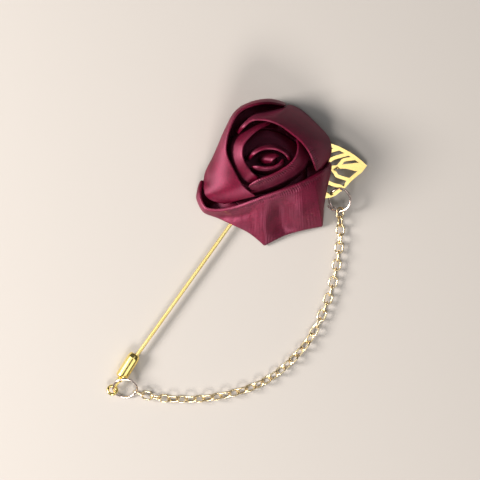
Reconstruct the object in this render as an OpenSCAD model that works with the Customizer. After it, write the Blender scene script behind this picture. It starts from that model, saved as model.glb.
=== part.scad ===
// Flower lapel pin: a folded satin rose on a straight pin, with a pierced leaf,
// a clutch on the pin's point and a fine chain from the leaf to the clutch.
// It lies on the plane z = 0 with the rose's open side up. Millimetres.

/* [Rose] */
// Wall of a folded satin petal
petal_wall = 1.0; // [1:0.1:1.2]
// Height of the sewn base's underside
base_z = 4.45; // [4.4:0.05:4.6]
// Thickness of the sewn base
base_h = 1.2; // [1:0.1:1.3]
// Radius of the sewn base
base_r = 12.0; // [11:0.5:12]

/* [Leaf] */
// Thickness of the leaf sheet
leaf_t = 0.6; // [0.5:0.1:0.6]
// Width of the leaf's border
border_w = 1.02; // [1:0.02:1.2]
// Width of the veins
vein_w = 1.0; // [0.9:0.05:1.1]
// Radius that the leaf sheet is bowed to
leaf_bow_r = 150; // [140:5:170]
// Direction of the leaf's midrib
leaf_turn = 8; // [6:1:10]

/* [Pin] */
// Diameter of the pin wire
shank_d = 1.06; // [1:0.02:1.1]
// Length from the middle of the pad to the point
shank_l = 66.6; // [65:0.1:67]
// Length of the sharpened point
point_l = 2.5; // [2:0.5:4]
// Diameter of the pad under the rose
pad_d = 13; // [12:0.5:14]
// Thickness of the pad
pad_h = 0.8; // [0.6:0.1:0.8]

/* [Clutch] */
// Diameter of the clutch barrel
clutch_d = 3.56; // [3.5:0.02:3.6]
// Length of the barrel from its mouth to its rounded end
clutch_l = 7.9; // [7.6:0.1:8.2]
// Diameter of the nose at the mouth
nose_d = 3.0; // [2.9:0.1:3.2]
// Length of the conical nose
nose_l = 1.1; // [0.8:0.1:1.4]
// Diameter of the blind bore
bore_d = 2.4; // [2.38:0.02:2.5]
// Depth of the blind bore
bore_l = 7.0; // [6.9:0.1:7.2]

/* [Chain] */
// Number of links
link_count = 38; // [38:1:38]
// Thickness of the links' wire
link_wire = 0.5; // [0.46:0.02:0.5]
// Width of a link over its wires
link_w = 2.66; // [2.6:0.02:2.7]
// Free play between two links
link_play = 0.14; // [0.12:0.01:0.15]

/* [Jump rings] */
// Middle radius of the leaf's jump ring
leaf_ring_r = 3.2; // [3.1:0.05:3.25]
// Thickness of the leaf ring's wire
leaf_ring_wire = 0.62; // [0.58:0.02:0.64]
// Middle radius of the clutch's jump ring
clutch_ring_r = 3.4; // [3.35:0.05:3.45]
// Thickness of the clutch ring's wire
clutch_ring_wire = 0.6; // [0.5:0.05:0.6]

/* [Hidden] */
function two_digits(n) = n < 10 ? str("0", n) : str(n);
function link_name(i) = str("link_", two_digits(i));

// Middle of the whole as it lies, in the coordinates that the positions below use
middle = [-0.93, -3.2, 0];
// Heart of the rose, the origin of the petal tables
rose_at = [8.4, 22.4, 0];
// Middle of the pad and of the sewn base, from the heart
pad_at = [-2.1, -5.4, 0];
base_at = [-1.5, -3.0, 0];
// Colours
satin = [0.36, 0.04, 0.12];
gold = [0.90, 0.72, 0.30];
pale_gold = [0.87, 0.80, 0.66];
round_fn = 32;

module laid() {
    translate(-middle) children();
}

module at_rose() {
    laid() translate(rose_at) children();
}

// Vectors and smooth curves

function unit(v) = v / norm(v);
function row_near(rows, i) = rows[max(0, min(len(rows) - 1, i))];
function slope(rows, i) = (row_near(rows, i + 1) - row_near(rows, i - 1)) / 2;

// Value between two rows, for the slopes that the curve has at each of them
function hermite(a, b, slope_a, slope_b, t) =
    a * (2 * t ^ 3 - 3 * t ^ 2 + 1) + slope_a * (t ^ 3 - 2 * t ^ 2 + t)
    + b * (3 * t ^ 2 - 2 * t ^ 3) + slope_b * (t ^ 3 - t ^ 2);

// A smooth path through points, each stretch in a number of steps
function smooth_path(points, steps) = [
    for (i = [0 : len(points) - 2], s = [0 : steps - 1])
        hermite(points[i], points[i + 1], slope(points, i), slope(points, i + 1), s / steps),
    points[len(points) - 1]];

// Petals
// A petal is a folded wall between its lip, the crest of the fold, and its lower edge.
// Columns: lip_x, lip_y, lip_z, edge_x, edge_y, edge_z, bow, corner, tuck.
// bow is how far the face stands out between lip and edge. corner is 1 where the lower
// edge turns sharply. tuck is how much of the way the edge is turned in to the base.

petal_left_rows = [
    [  4.6,  15.5,  8.6,   4.7,  16.7, 3.0, 0.3, 0,   1],
    [ -0.1,  16.0, 13.0,   0.0,  17.5, 2.4, 0.5, 0,   1],
    [ -4.6,  15.3, 15.4,  -4.8,  16.5, 2.2, 0.6, 0,   1],
    [ -8.6,  13.3, 16.0,  -9.0,  14.2, 2.6, 0.6, 0,   1],
    [-11.0,   9.4, 16.0, -11.8,   9.8, 3.0, 0.6, 0,   1],
    [-12.3,   4.7, 16.0, -14.2,   5.0, 3.0, 0.8, 0,   1],
    [-12.2,   1.3, 16.0, -16.6,   0.4, 3.0, 1.0, 0,   1],
    [-10.3,  -3.0, 16.0, -18.7,  -4.3, 3.0, 1.2, 0,   1],
    [ -7.8,  -7.3, 15.4, -18.2,  -9.9, 4.8, 1.2, 0, 0.4],
    [ -4.2, -10.2, 14.2, -12.8, -12.5, 6.6, 0.8, 0, 0.2]];

petal_front_rows = [
    [-19.25,  -5.4,  4.5, -19.9,  -5.5, 2.1,  0.1,   0, 0.15],
    [ -19.7,  -8.2,  5.6, -20.6,  -8.4, 2.0,  0.1,   0, 0.25],
    [ -19.6, -10.6,  6.2, -20.8, -11.0, 2.0,  0.1,   0,  0.4],
    [ -17.9, -13.5,  7.4, -18.9, -14.5, 1.0,  0.2, 0.3,    1],
    [ -14.2, -14.0,  8.8, -14.9, -16.2, 2.4, -0.3,   0,    1],
    [  -9.7, -13.2, 10.6, -10.4, -18.4, 3.6, -0.8,   0,    1],
    [  -5.0, -11.6, 12.8,  -5.6, -20.9, 2.6, -0.7,   0,    1],
    [  -1.0, -10.1, 14.2,  -1.4, -24.3, 0.5, -0.4,   1,    1],
    [   3.5,  -8.5, 15.0,   4.4, -21.4, 1.2,  0.0,   0,    1],
    [   8.5,  -6.6, 15.0,  10.0, -19.7, 1.2,  0.9,   0,    1],
    [  12.0,  -4.8, 14.0,  15.2, -18.6, 0.5,  1.4,   1,    1],
    [  14.4,  -3.5, 12.5,  15.6, -12.0, 4.3,  0.9,   0,    1],
    [  16.0,  -2.2, 10.5,  17.0,  -5.0, 4.4,  0.6,   0,    1],
    [  16.9,  -0.3,  9.0,  17.9,  -0.8, 4.2,  0.3,   0,    1]];

petal_back_rows = [
    [12.9, -3.0, 14.4, 16.2, -2.0,  7.4, 0.0, 0,  0.4],
    [11.8,  0.2, 16.8, 17.4,  2.0,  5.6, 0.8, 0, 0.95],
    [10.2,  3.1, 17.8, 17.6,  4.2,  4.6, 1.2, 0,    1],
    [ 8.1,  5.5, 18.0, 16.6,  7.2,  4.2, 1.6, 0,    1],
    [ 5.0,  8.0, 18.0, 12.9, 11.3,  2.6, 1.8, 0,    1],
    [ 3.2,  9.3, 18.0,  9.2, 14.8,  0.6, 1.6, 0,    1],
    [ 1.8, 10.0, 18.0,  6.0, 16.2,  1.6, 1.2, 0,  0.8],
    [ 0.2, 10.6, 18.0,  4.2, 15.1,  5.9, 0.8, 0, 0.25],
    [-1.8, 11.0, 18.0,  0.2, 14.2,  6.2, 0.5, 0,  0.2],
    [-5.0, 10.9, 17.4, -4.4, 13.3,  6.4, 0.3, 0, 0.25],
    [-7.6,  8.9, 16.6, -7.9, 10.2,  6.4, 0.2, 0,  0.4],
    [-8.9,  7.2, 14.4, -9.9,  8.5, 10.3, 0.2, 0,  0.2]];

petal_inner_left_rows = [
    [ 0.2, 10.3, 15.6,  -1.4, 11.1, 6.0, 0.3, 0, 0],
    [-1.5,  9.4, 17.5,  -3.5, 10.5, 6.0, 0.4, 0, 0],
    [-4.2,  7.8, 18.5,  -6.2,  9.4, 6.0, 0.5, 0, 0],
    [-7.2,  4.6, 18.5, -10.9,  6.2, 6.0, 0.9, 0, 0],
    [-7.9,  1.5, 18.5, -11.7,  1.6, 6.0, 1.0, 0, 0],
    [-7.1, -1.2, 18.5, -10.6, -3.0, 6.0, 1.0, 0, 0],
    [-5.4, -3.6, 18.3,  -8.2, -6.4, 6.0, 0.8, 0, 0],
    [-3.9, -4.8, 17.5,  -5.7, -7.4, 6.0, 0.5, 0, 0],
    [-2.7, -5.8, 15.6,  -4.4, -7.9, 6.0, 0.3, 0, 0]];

petal_inner_front_rows = [
    [-5.9, -7.3, 17.0, -5.3, -10.0, 6.0, 0.3, 0, 0],
    [-2.9, -5.7, 18.3, -1.8,  -9.4, 6.0, 0.7, 0, 0],
    [ 0.6, -4.4, 18.5,  1.9,  -8.3, 6.0, 0.8, 0, 0],
    [ 3.4, -2.9, 18.5,  5.5,  -6.4, 6.0, 0.9, 0, 0],
    [ 5.9, -1.1, 18.5,  8.9,  -3.6, 6.0, 0.9, 0, 0],
    [ 7.4,  1.1, 18.4, 10.9,   0.2, 6.0, 0.9, 0, 0],
    [ 7.8,  3.0, 18.0, 11.1,   3.4, 6.0, 0.6, 0, 0],
    [ 7.7,  4.4, 17.2,  9.9,   5.8, 6.0, 0.4, 0, 0],
    [ 7.3,  5.5, 15.8,  8.4,   7.4, 6.0, 0.3, 0, 0]];

petal_heart_back_rows = [
    [ 5.4, -0.5, 16.6,  6.4, 0.1, 6.0, 0.2, 0, 0],
    [ 5.0,  0.4, 18.5,  6.1, 1.5, 6.0, 0.2, 0, 0],
    [ 3.9,  1.7, 19.0,  4.9, 3.1, 6.0, 0.2, 0, 0],
    [ 1.6,  2.8, 19.0,  1.9, 4.4, 6.0, 0.2, 0, 0],
    [-1.0,  3.0, 19.0, -1.3, 4.6, 6.0, 0.2, 0, 0],
    [-3.3,  2.3, 19.0, -4.3, 3.6, 6.0, 0.2, 0, 0],
    [-5.0,  1.1, 18.3, -6.2, 1.8, 6.0, 0.2, 0, 0],
    [-5.9, -0.1, 16.4, -7.2, 0.2, 6.0, 0.2, 0, 0]];

petal_heart_front_rows = [
    [-5.1, -2.0, 17.8, -5.9, -3.0, 6.0, 0.2, 0, 0],
    [-3.2, -2.2, 18.7, -3.5, -3.6, 6.0, 0.2, 0, 0],
    [-1.2, -2.4, 19.0, -1.0, -3.9, 6.0, 0.2, 0, 0],
    [ 1.1, -2.1, 19.0,  2.0, -3.3, 6.0, 0.2, 0, 0],
    [ 2.7, -1.2, 19.0,  4.0, -1.8, 6.0, 0.2, 0, 0],
    [ 3.4,  0.0, 18.6,  4.5,  0.0, 6.0, 0.2, 0, 0]];

rose_heart_rows = [
    [2.4,  1.0, 18.0,  1.9,  1.9, 12.5, 0.0, 0, 0],
    [1.6,  0.8, 18.8,  0.3,  2.1, 12.5, 0.0, 0, 0],
    [0.8,  0.2, 18.9, -1.8,  2.0, 12.5, 0.0, 0, 0],
    [0.3, -0.5, 18.6, -2.9,  0.9, 12.5, 0.0, 0, 0],
    [0.1, -1.1, 18.0, -2.6, -0.6, 12.5, 0.0, 0, 0]];

// Steps of a petal's mesh: between two rows, down its face, in its turned-in hem, round its lip
row_steps = 3;
face_steps = 6;
tuck_steps = 3;
lip_steps = 4;
// Where the turned-in hem ends, at the side of the base
rim_gap = 0.7;
rim_z = base_z + base_h * 0.7;
// How far the hem hangs below the straight way to the base
hem_sag = 0.2;

function lip_of(row) = [row[0], row[1], row[2]];
function edge_of(row) = [row[3], row[4], row[5]];
function bow_of(row) = row[6];
function corner_of(row) = row[7];
function tuck_of(row) = row[8];

// One row of the table, worked out at any place along the petal
function station(rows, i, t) = let(a = rows[i], b = rows[i + 1],
        round_a = 1 - corner_of(a), round_b = 1 - corner_of(b),
        m_a = slope(rows, i), m_b = slope(rows, i + 1)) concat(
    hermite(lip_of(a), lip_of(b), lip_of(m_a), lip_of(m_b), t),
    hermite(edge_of(a), edge_of(b), edge_of(m_a) * round_a, edge_of(m_b) * round_b, t),
    [bow_of(a) * (1 - t) + bow_of(b) * t, 0, tuck_of(a) * (1 - t) + tuck_of(b) * t]);

function stations(rows) = [
    for (i = [0 : len(rows) - 2], s = [0 : row_steps - 1]) station(rows, i, s / row_steps),
    rows[len(rows) - 1]];

// Side of the base that faces a point
function rim_point(p) = let(out = unit([p[0] - base_at[0], p[1] - base_at[1]]))
    [base_at[0] + out[0] * (base_r + rim_gap), base_at[1] + out[1] * (base_r + rim_gap), rim_z];

// The middle line of the wall, from the lip down to the edge and in to the base
function middle_line(row, tucked) = let(
        top = lip_of(row) - [0, 0, petal_wall / 2],
        low = edge_of(row),
        away = unit([low[0] - base_at[0], low[1] - base_at[1], 0]),
        foot = low - away * (petal_wall / 2),
        chord = foot - top,
        side = unit(cross(chord, [0, 0, 1])),
        stand = unit(cross(side, chord)),
        knee = (top + foot) / 2 + stand * bow_of(row) * 2,
        rim = foot + (rim_point(foot) - foot) * tuck_of(row)) concat(
    [for (k = [0 : face_steps]) let(v = k / face_steps)
        top * (1 - v) ^ 2 + knee * 2 * v * (1 - v) + foot * v ^ 2],
    tucked ? [for (k = [1 : tuck_steps]) let(v = k / tuck_steps)
        foot + (rim - foot) * v - [0, 0, hem_sag * sin(180 * v) * tuck_of(row)]] : []);

// Direction across the wall at each point of the grid
function across(grid, i, k) = let(
        last_i = len(grid) - 1,
        last_k = len(grid[0]) - 1,
        along = grid[min(i + 1, last_i)][k] - grid[max(i - 1, 0)][k],
        down = grid[i][min(k + 1, last_k)] - grid[i][max(k - 1, 0)])
    unit(cross(down, along));

// One closed loop of points round the wall's section
function section(grid, i) = let(
        last_k = len(grid[0]) - 1,
        half = petal_wall / 2,
        crest = across(grid, i, 0),
        up = unit(grid[i][0] - grid[i][1])) concat(
    [for (k = [last_k : -1 : 0]) grid[i][k] + across(grid, i, k) * half],
    [for (s = [1 : lip_steps - 1]) let(turn = 180 * s / lip_steps)
        grid[i][0] + (crest * cos(turn) + up * sin(turn)) * half],
    [for (k = [0 : last_k]) grid[i][k] - across(grid, i, k) * half]);

// Closed end of the wall, in strips from its hem to its lip
function end_faces(first, count, flip) = [
    for (k = [0 : floor((count - 1) / 2) - 1]) let(
            a = first + k,
            b = first + k + 1,
            c = first + count - 2 - k,
            d = first + count - 1 - k)
        each (b == c ? [flip ? [a, b, d] : [a, d, b]]
            : flip ? [[a, b, c], [a, c, d]] : [[a, c, b], [a, d, c]])];

module petal(rows, tucked) {
    grid = [for (row = stations(rows)) middle_line(row, tucked)];
    loops = [for (i = [0 : len(grid) - 1]) section(grid, i)];
    count = len(loops[0]);
    sides = [for (i = [0 : len(loops) - 2], k = [0 : count - 1]) let(
            a = i * count + k,
            b = i * count + (k + 1) % count)
        each [[a, b, b + count], [a, b + count, a + count]]];
    polyhedron([for (loop = loops) each loop],
        concat(sides, end_faces(0, count, false),
            end_faces((len(loops) - 1) * count, count, true)), convexity = 10);
}

module petal_left() {
    color(satin) at_rose() petal(petal_left_rows, true);
}

module petal_front() {
    color(satin) at_rose() petal(petal_front_rows, true);
}

module petal_back() {
    color(satin) at_rose() petal(petal_back_rows, true);
}

module petal_inner_left() {
    color(satin) at_rose() petal(petal_inner_left_rows, false);
}

module petal_inner_front() {
    color(satin) at_rose() petal(petal_inner_front_rows, false);
}

module petal_heart_back() {
    color(satin) at_rose() petal(petal_heart_back_rows, false);
}

module petal_heart_front() {
    color(satin) at_rose() petal(petal_heart_front_rows, false);
}

module rose_heart() {
    color(satin) at_rose() petal(rose_heart_rows, false);
}

// The sewn bottom of the folds, with the rolled stem that the heart stands on
stem_r = 2.2;
stem_top = 12.0;
stem_at = [0.0, 0.2, 0];
module rose_base() {
    color(satin) at_rose() {
        translate(base_at + [0, 0, base_z]) cylinder(h = base_h, r = base_r, $fn = 64);
        translate(stem_at + [0, 0, base_z + base_h / 2])
            cylinder(h = stem_top - base_z - base_h / 2, r = stem_r, $fn = round_fn);
    }
}

// Leaf, in its own frame: the pad's middle is the origin and +X is the midrib
// Columns: x, y
leaf_outline = [
    [-6.0,  0.4], [-3.5,  2.0], [ 0.0,  4.4], [ 5.0,  7.0], [10.5,  8.5], [15.5,  8.7],
    [20.8,  7.6], [23.0,  6.5], [25.0,  5.1], [27.0,  3.5], [28.9,  1.6],
    [30.2,  0.0],
    [28.5, -1.7], [26.9, -2.6], [25.2, -3.7], [23.1, -5.4], [21.9, -6.15], [20.1, -7.2],
    [18.8, -7.55], [15.5, -7.7], [10.5, -7.6], [ 5.0, -6.5], [ 0.0, -4.2], [-3.5, -2.0], [-6.0, -0.4]];
// Columns: x, y, width
midrib_rows = [
    [-8.0, 0.0, 1.2], [ 2.0, 0.4, 1.1], [14.0, 0.9, 1.0], [20.4, 0.8, 1.0],
    [22.5, 0.7, 1.05], [24.1, 0.6, 1.3], [25.9, 0.25, 1.9], [27.3, 0.0, 2.4], [29.4, 0.0, 1.2]];
// Columns: root_x, knee_x, knee_y, end_x, end_y, the places where a vein leaves the
// midrib, bends and meets the border
vein_rows = [
    [21.8, 24.0,  2.5, 27.6,  2.5],
    [16.6, 21.1,  3.4, 26.0,  4.1],
    [11.4, 17.4,  4.9, 23.2,  5.9],
    [ 6.2, 12.0,  5.2, 18.6,  7.6],
    [ 1.0,  6.2,  4.6, 12.4,  8.0],
    [20.0, 21.5, -1.9, 25.0, -3.5],
    [14.6, 19.3, -3.75, 22.7, -5.15],
    [ 9.4, 14.0, -4.4, 18.2, -6.6],
    [ 4.2,  8.4, -4.0, 13.4, -7.1],
    [-1.0,  3.0, -3.2,  7.6, -6.6]];
leaf_z = 3.85;
leaf_crown_x = 1.0;
leaf_reach = 45;
vein_steps = 4;
root_y = 0.7;

function left_of(d) = [-d[1], d[0]];
function heading(points, i) = let(d = row_near(points, i + 1) - row_near(points, i - 1))
    unit([d[0], d[1]]);

// A line of metal along points that give x, y and width
module strip(points) {
    sides = [for (s = [1, -1]) [for (i = [0 : len(points) - 1])
        [points[i][0], points[i][1]] + left_of(heading(points, i)) * s * points[i][2] / 2]];
    last = len(points) - 1;
    polygon(concat(sides[0], [for (i = [last : -1 : 0]) sides[1][i]]));
}

module leaf_border() {
    count = len(leaf_outline);
    inner = [for (i = [0 : count - 1])
        leaf_outline[i] - left_of(heading(leaf_outline, i)) * border_w];
    difference() {
        polygon(leaf_outline);
        polygon([for (i = [0 : count - 1]) if (inner[i][0] > leaf_outline[0][0] + border_w) inner[i]]);
    }
}

module vein(row) {
    root = [row[0], root_y, vein_w];
    knee = [row[1], row[2], vein_w];
    tip = [row[3], row[4], vein_w];
    strip(smooth_path([root, (root + knee) / 2 + [0.1, 0.2 * sign(row[2]), 0], knee, tip], vein_steps));
}

module leaf() {
    color(gold) laid() translate(rose_at + pad_at) rotate([0, 0, leaf_turn]) intersection() {
        linear_extrude(height = 3 * leaf_z) {
            leaf_border();
            strip(smooth_path(midrib_rows, 2));
            for (row = vein_rows) vein(row);
        }
        translate([leaf_crown_x, 0, leaf_z - leaf_bow_r]) rotate([90, 0, 0]) difference() {
            cylinder(h = leaf_reach, r = leaf_bow_r + leaf_t / 2, center = true, $fn = 720);
            cylinder(h = leaf_reach + 1, r = leaf_bow_r - leaf_t / 2, center = true, $fn = 720);
        }
    }
}

// Pin wire, its pad and its point
shank_z = 2.0;
mouth_at = [-28.9, -32.2, 1.78];
pad_z = 2.4;
shank_past_pad = 4.5;
module shank() {
    pad_middle = rose_at + pad_at;
    start = [pad_middle[0], pad_middle[1], shank_z];
    run = unit(mouth_at - start);
    turn = atan2(run[1], run[0]);
    lean = acos(run[2]);
    color(gold) laid() {
        translate(start) rotate([0, lean, turn]) {
            translate([0, 0, -shank_past_pad])
                cylinder(h = shank_past_pad + shank_l - point_l, d = shank_d, $fn = round_fn);
            translate([0, 0, shank_l - point_l])
                cylinder(h = point_l, d1 = shank_d, d2 = shank_d / 8, $fn = round_fn);
        }
        translate([pad_middle[0], pad_middle[1], pad_z]) cylinder(h = pad_h, d = pad_d, $fn = 64);
    }
}

// Clutch, on its own axis from the mouth
clutch_at = [-29.8, -32.6, 1.78];
clutch_turn = 238.1;
end_round = 0.9;
neck_d = 1.7;
eye_at = [-36.35, -42.7, 1.95];
eye_r = 1.24;
eye_wire = 0.86;
eye_tilt = 17.5;
bail_d = 1.0;
module clutch_barrel() {
    r = clutch_d / 2;
    rotate_extrude($fn = 48) difference() {
        union() {
            polygon([[0, 0], [nose_d / 2, 0], [r, nose_l], [r, clutch_l - end_round],
                [r - end_round, clutch_l], [0, clutch_l]]);
            translate([r - end_round, clutch_l - end_round]) circle(r = end_round, $fn = round_fn);
        }
        square([bore_d / 2, bore_l]);
        translate([-2 * r, -1]) square([2 * r, clutch_l + 2]);
    }
}

module wire_ring(radius, wire) {
    rotate_extrude($fn = 64) translate([radius, 0]) circle(d = wire, $fn = 24);
}

module clutch() {
    axis = [cos(clutch_turn), sin(clutch_turn), 0];
    neck_at = clutch_at + axis * (clutch_l + neck_d / 3);
    to_eye = eye_at - neck_at;
    run = unit(to_eye);
    color(gold) laid() {
        translate(clutch_at) rotate([0, 90, clutch_turn]) clutch_barrel();
        translate(neck_at) sphere(d = neck_d, $fn = round_fn);
        translate(neck_at) rotate([0, acos(run[2]), atan2(run[1], run[0])])
            cylinder(h = norm(to_eye) - eye_r, d = bail_d, $fn = 24);
        translate(eye_at) rotate([-eye_tilt, 0, 0]) wire_ring(eye_r, eye_wire);
    }
}

clutch_ring_at = [-32.7, -42.2, 2.4];
clutch_ring_tilt = 37.4;
module clutch_ring() {
    color(pale_gold) laid() translate(clutch_ring_at) rotate([clutch_ring_tilt, 0, 0])
        wire_ring(clutch_ring_r, clutch_ring_wire);
}

// The leaf's ring is one bent wire: its outer end springs outwards and its inner end inwards
// and down, so that they lie side by side. The turns are about the ring's own middle.
leaf_ring_at = [28.4, 11.5, 2.9];
leaf_ring_tilt = [8.5, -24, 0];
outer_end = 205;
outer_from = 330;
outer_shift = 0.9;
inner_end = 606;
inner_from = 545;
inner_shift = 0.24;
inner_drop = 0.42;
ring_steps = 66;
wire_sides = 12;
function sprung(turn, from, to) = max(0, (turn - from) / (to - from)) ^ 2;
function wire_point(turn, side) = let(
        out = sprung(turn, outer_from, outer_end),
        in = sprung(turn, inner_from, inner_end),
        radius = leaf_ring_r + outer_shift * out - inner_shift * in
            + leaf_ring_wire / 2 * cos(side))
    [radius * cos(turn), radius * sin(turn), leaf_ring_wire / 2 * sin(side) - inner_drop * in];

module leaf_ring() {
    points = [for (k = [0 : ring_steps], j = [0 : wire_sides - 1])
        wire_point(outer_end + (inner_end - outer_end) * k / ring_steps, 360 * j / wire_sides)];
    sides = [for (k = [0 : ring_steps - 1], j = [0 : wire_sides - 1]) let(
            a = k * wire_sides + j,
            b = k * wire_sides + (j + 1) % wire_sides)
        each [[a, b, b + wire_sides], [a, b + wire_sides, a + wire_sides]]];
    first = [for (j = [wire_sides - 1 : -1 : 0]) j];
    last = [for (j = [0 : wire_sides - 1]) ring_steps * wire_sides + j];
    color(pale_gold) laid() translate(leaf_ring_at) rotate(leaf_ring_tilt)
        polyhedron(points, concat(sides, [first], [last]), convexity = 6);
}

// The way the chain lies, from the clutch's ring to the leaf's ring
chain_points = [
    [-30.03, -43.22, 1.55], [-27.5, -44.0, 1.45], [-24.5, -44.8, 1.33], [-19.4, -45.3, 1.05],
    [-14.5, -45.4, 1.05], [-9.6, -45.1, 1.05], [-4.8, -44.3, 1.05], [0.4, -43.0, 1.05],
    [5.2, -41.2, 1.05], [9.6, -38.7, 1.1], [13.5, -35.5, 1.2], [17.0, -31.9, 1.33],
    [20.1, -27.9, 1.33], [22.5, -23.3, 1.33], [24.5, -18.6, 1.33], [26.1, -13.7, 1.33],
    [27.3, -8.6, 1.33], [28.1, -3.6, 1.33], [28.6, 1.3, 1.33], [28.6, 4.3, 1.4],
    [28.5, 6.6, 1.75], [28.42, 8.9, 2.6]];
// How the links are rolled: link number, turn about the chain's own line
link_roll = [[1, 90], [5, 45], [23, 45], [27, 90], [33, 90], [38, 120]];
path_steps = 10;
chain_path = smooth_path(chain_points, path_steps);
path_marks = [for (i = 0, sum = 0; i < len(chain_path);
        i = i + 1, sum = sum + (i < len(chain_path) ? norm(chain_path[i] - chain_path[i - 1]) : 0))
    sum];
chain_l = path_marks[len(path_marks) - 1];
link_pitch = chain_l / link_count;
function on_path(s) = [for (axis = [0 : 2])
    lookup(s, [for (i = [0 : len(chain_path) - 1]) [path_marks[i], chain_path[i][axis]]])];

module chain_link(i) {
    bend_r = (link_w - link_wire) / 2;
    straight = link_pitch + link_play + link_wire - 2 * bend_r;
    a = on_path((i - 1) * link_pitch);
    b = on_path(i * link_pitch);
    run = unit(b - a);
    roll = lookup(i, link_roll) + 90 * (i - 1);
    color(pale_gold) laid() translate((a + b) / 2)
        rotate([0, -asin(run[2]), atan2(run[1], run[0])]) rotate([roll, 0, 0]) {
            for (s = [1, -1]) {
                translate([s * straight / 2, 0, 0]) rotate([0, 0, -90 * s])
                    rotate_extrude(angle = 180, $fn = 32)
                        translate([bend_r, 0]) circle(d = link_wire, $fn = 16);
                translate([0, s * bend_r, 0]) rotate([0, 90, 0])
                    cylinder(h = straight, d = link_wire, center = true, $fn = 16);
            }
        }
}

petal_left();
petal_front();
petal_back();
petal_inner_left();
petal_inner_front();
petal_heart_back();
petal_heart_front();
rose_heart();
rose_base();
leaf();
shank();
clutch();
clutch_ring();
leaf_ring();
for (i = [1 : link_count]) chain_link(i);
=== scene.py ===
from math import atan2, cos, degrees, exp, hypot, inf, pi, radians, sin

import bmesh
import bpy
from mathutils import Euler, Matrix, Vector


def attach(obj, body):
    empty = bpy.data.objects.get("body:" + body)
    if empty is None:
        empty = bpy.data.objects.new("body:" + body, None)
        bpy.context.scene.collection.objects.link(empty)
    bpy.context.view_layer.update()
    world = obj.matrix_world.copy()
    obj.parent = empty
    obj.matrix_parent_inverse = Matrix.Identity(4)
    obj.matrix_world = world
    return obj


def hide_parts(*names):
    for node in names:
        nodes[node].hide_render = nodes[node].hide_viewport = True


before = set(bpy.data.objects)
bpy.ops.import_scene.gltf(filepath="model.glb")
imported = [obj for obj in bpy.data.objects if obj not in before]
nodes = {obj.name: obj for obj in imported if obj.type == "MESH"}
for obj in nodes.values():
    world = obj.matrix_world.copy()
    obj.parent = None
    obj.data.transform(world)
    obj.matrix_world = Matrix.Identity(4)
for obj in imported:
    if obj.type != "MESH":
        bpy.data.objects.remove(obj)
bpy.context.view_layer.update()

MM = 0.001
CM_IN_MM = 10
M_IN_CM = 100
UP = Vector((0, 0, 1))
# The same places and measures as in the part's source, in millimetres. The base and the petals'
# tables are given from the rose's place.
MIDDLE = Vector((-0.93, -3.2, 0))
ROSE_AT = Vector((8.4, 22.4, 0))
BASE_AT = Vector((-1.5, -3.0, 0))
BASE_Z = 4.45
BASE_H = 1.2
BASE_R = 12.0
WALL = 1.0


# ---------------------------------------------------------------- helpers

def colour(code):
    """sRGB hex to the linear colour that a shader takes."""
    values = [int(code[i:i + 2], 16) / 255 for i in (1, 3, 5)]
    return tuple(c / 12.92 if c <= 0.04045 else ((c + 0.055) / 1.055) ** 2.4 for c in values) + (1,)


def add(material, kind, settings=None, **links):
    """Adds a shader node, with its properties or socket values, and its incoming links."""
    tree = material.node_tree
    node = tree.nodes.new(kind)
    for name, value in (settings or {}).items():
        if name in node.inputs:
            node.inputs[name].default_value = value
        else:
            setattr(node, name, value)
    for name, source in links.items():
        tree.links.new(source, node.inputs[name.replace("_", " ")])
    return node


def new_material(name):
    """A material with nothing in it yet."""
    material = bpy.data.materials.new(name)
    material.use_nodes = True
    material.node_tree.nodes.clear()
    return material


def finish_material(material, shader):
    """Gives the material its surface."""
    add(material, "ShaderNodeOutputMaterial", Surface=shader.outputs[0])
    return material


def ramp(material, source, stops):
    """Colours along a value, from (place, colour) pairs."""
    node = add(material, "ShaderNodeValToRGB", Fac=source)
    bar = node.color_ramp
    while len(bar.elements) < len(stops):
        bar.elements.new(0.5)  # its own place follows
    for element, (place, code) in zip(bar.elements, stops):
        element.position = place
        element.color = colour(code)
    return node.outputs[0]


def make_piece(name, bm, material, replaced, smooth_angle=None):
    """A finished piece: a mesh in metres, in the row frame, that rides on the one body."""
    mesh = bpy.data.meshes.new(name)
    bm.to_mesh(mesh)
    bm.free()
    for face in mesh.polygons:
        face.use_smooth = True
    if smooth_angle:
        mesh.set_sharp_from_angle(angle=radians(smooth_angle))
    piece = bpy.data.objects.new(name, mesh)
    bpy.context.scene.collection.objects.link(piece)
    piece.data.materials.append(material)
    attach(piece, "root")
    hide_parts(*replaced)
    return piece


def laid(bm, at=(0, 0, 0), turn=None):
    """Brings a bmesh in millimetres on its own axes to its place in the frame, in metres."""
    place = Matrix.Translation(Vector(at) - MIDDLE) @ (turn.to_4x4() if turn else Matrix())
    bmesh.ops.transform(bm, matrix=Matrix.Scale(MM, 4) @ place, verts=bm.verts)
    return bm


def turned(profile, steps, weld=0.0005):
    """A closed shell turned on the z axis from (radius, height) pairs."""
    bm = bmesh.new()
    verts = [bm.verts.new((r, 0, z)) for r, z in profile]
    edges = [bm.edges.new(pair) for pair in zip(verts, verts[1:])]
    bmesh.ops.spin(bm, geom=verts + edges, cent=(0, 0, 0), axis=(0, 0, 1), angle=2 * pi, steps=steps,
                   use_merge=True)
    bmesh.ops.remove_doubles(bm, verts=bm.verts, dist=weld)
    bmesh.ops.recalc_face_normals(bm, faces=bm.faces)
    return bm


def wire_ring(radius, wire, steps=120, sides=24):
    """A closed ring of round wire: its radius to the wire's middle and the wire's diameter."""
    circle = [(radius + wire / 2 * cos(2 * pi * k / sides), wire / 2 * sin(2 * pi * k / sides))
              for k in range(sides + 1)]
    return turned(circle, steps)


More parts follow.
